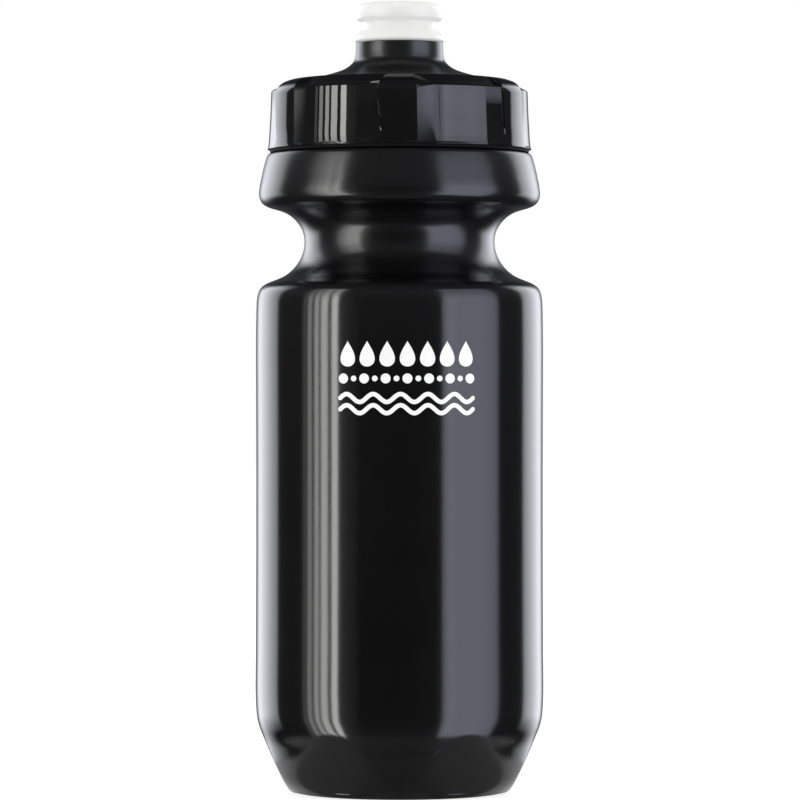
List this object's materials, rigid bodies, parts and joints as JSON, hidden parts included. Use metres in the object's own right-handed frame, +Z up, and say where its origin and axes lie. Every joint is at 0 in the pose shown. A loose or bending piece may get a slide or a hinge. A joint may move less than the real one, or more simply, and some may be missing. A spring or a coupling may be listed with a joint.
{
  "type": "water bottle",
  "caption": "Squeeze water bottle for a bicycle cage: round body with a grip groove and flats round the foot, screw cap with finger recesses, push-pull spout.",
  "frame": {"origin": "centre of the standing ring, on the ground plane", "axes": "+Z up along the bottle's axis, front (printed side) towards -Y, +X to the right"},
  "size_m": [0.0742, 0.0742, 0.2034],
  "materials": {
    "bottle_black": "blow-moulded black polyethylene, soft gloss with fine surface waviness",
    "cap_black": "injection-moulded black polypropylene, high gloss",
    "gasket_grey": "satin silicone",
    "spout_rigid_white": "injection-moulded white polypropylene, satin",
    "oring_black": "satin rubber",
    "mouthpiece_white": "soft white elastomer, satin",
    "valve_silicone": "milky silicone"
  },
  "bodies": {
    "bottle": {"bottle_body": "bottle_black"},
    "seal_carrier": {"cap_gasket": "gasket_grey"},
    "cap": {"screw_cap": "cap_black", "spout_core": "spout_rigid_white", "spout_oring": "oring_black"},
    "nozzle": {"nozzle_slider": "spout_rigid_white", "mouthpiece": "mouthpiece_white", "slit_valve": "valve_silicone", "valve_retainer": "spout_rigid_white"}
  },
  "joints": [
    {"name": "cap_lift", "type": "slide", "parent": "bottle", "child": "seal_carrier", "axis": [0, 0, 1], "range_m": [0, 0.0151]},
    {"name": "cap_turn", "type": "hinge", "parent": "seal_carrier", "child": "cap", "pos_m": [0, 0, 0.172], "axis": [0, 0, 1], "range_deg": [0, 900]},
    {"name": "nozzle_pull", "type": "slide", "parent": "cap", "child": "nozzle", "axis": [0, 0, 1], "range_m": [0, 0.006]}
  ],
  "couplings": [
    {"joint": "cap_lift", "follows": "cap_turn", "m_per_rad": 0.00095493}
  ]
}
